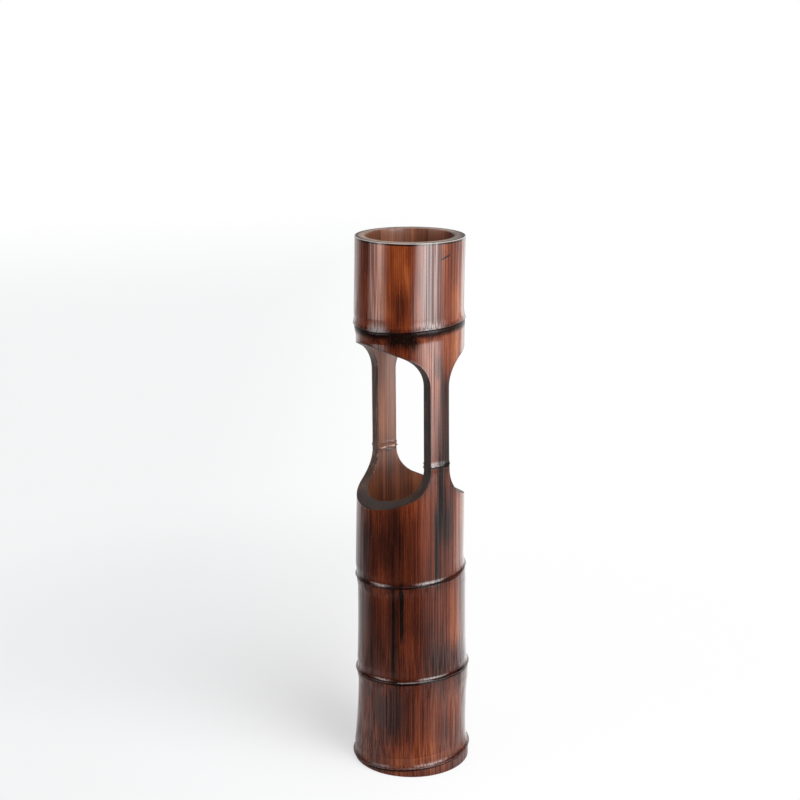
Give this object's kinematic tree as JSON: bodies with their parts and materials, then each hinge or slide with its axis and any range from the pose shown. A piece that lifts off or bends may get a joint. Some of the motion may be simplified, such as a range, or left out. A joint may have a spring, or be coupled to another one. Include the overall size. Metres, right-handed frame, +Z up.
{
  "type": "bamboo vase",
  "caption": "Tall vase sawn from one dark lacquered bamboo culm, with a cup at the top, a through window between two posts, and a second cup under it.",
  "frame": {"origin": "centre of the foot, on the surface the vase stands on", "axes": "+Z up along the culm; the two sawn windows face -Y and +Y, and the two posts stand at -X and +X"},
  "size_m": [0.1341, 0.134, 0.6],
  "materials": {
    "lacquered_bamboo": "carbonised and lacquered, glossy",
    "node_ridge": "carbonised and lacquered, darker along the scar",
    "inner_bamboo": "stained, thin coat of lacquer",
    "foot_stub": "stained and lacquered"
  },
  "bodies": {
    "root": {"upper_cup_wall": "lacquered_bamboo", "upper_node_ring": "node_ridge", "upper_diaphragm": "inner_bamboo", "window_collar": "lacquered_bamboo", "left_post": "lacquered_bamboo", "right_post": "lacquered_bamboo", "left_post_node": "node_ridge", "right_post_node": "node_ridge", "lower_cup_wall": "lacquered_bamboo", "middle_node_ring": "node_ridge", "middle_diaphragm": "inner_bamboo", "lower_culm_wall": "lacquered_bamboo", "lower_node_ring": "node_ridge", "lower_diaphragm": "inner_bamboo", "base_culm_wall": "lacquered_bamboo", "base_node_ring": "node_ridge", "base_diaphragm": "inner_bamboo", "foot_ring": "foot_stub"}
  },
  "joints": []
}
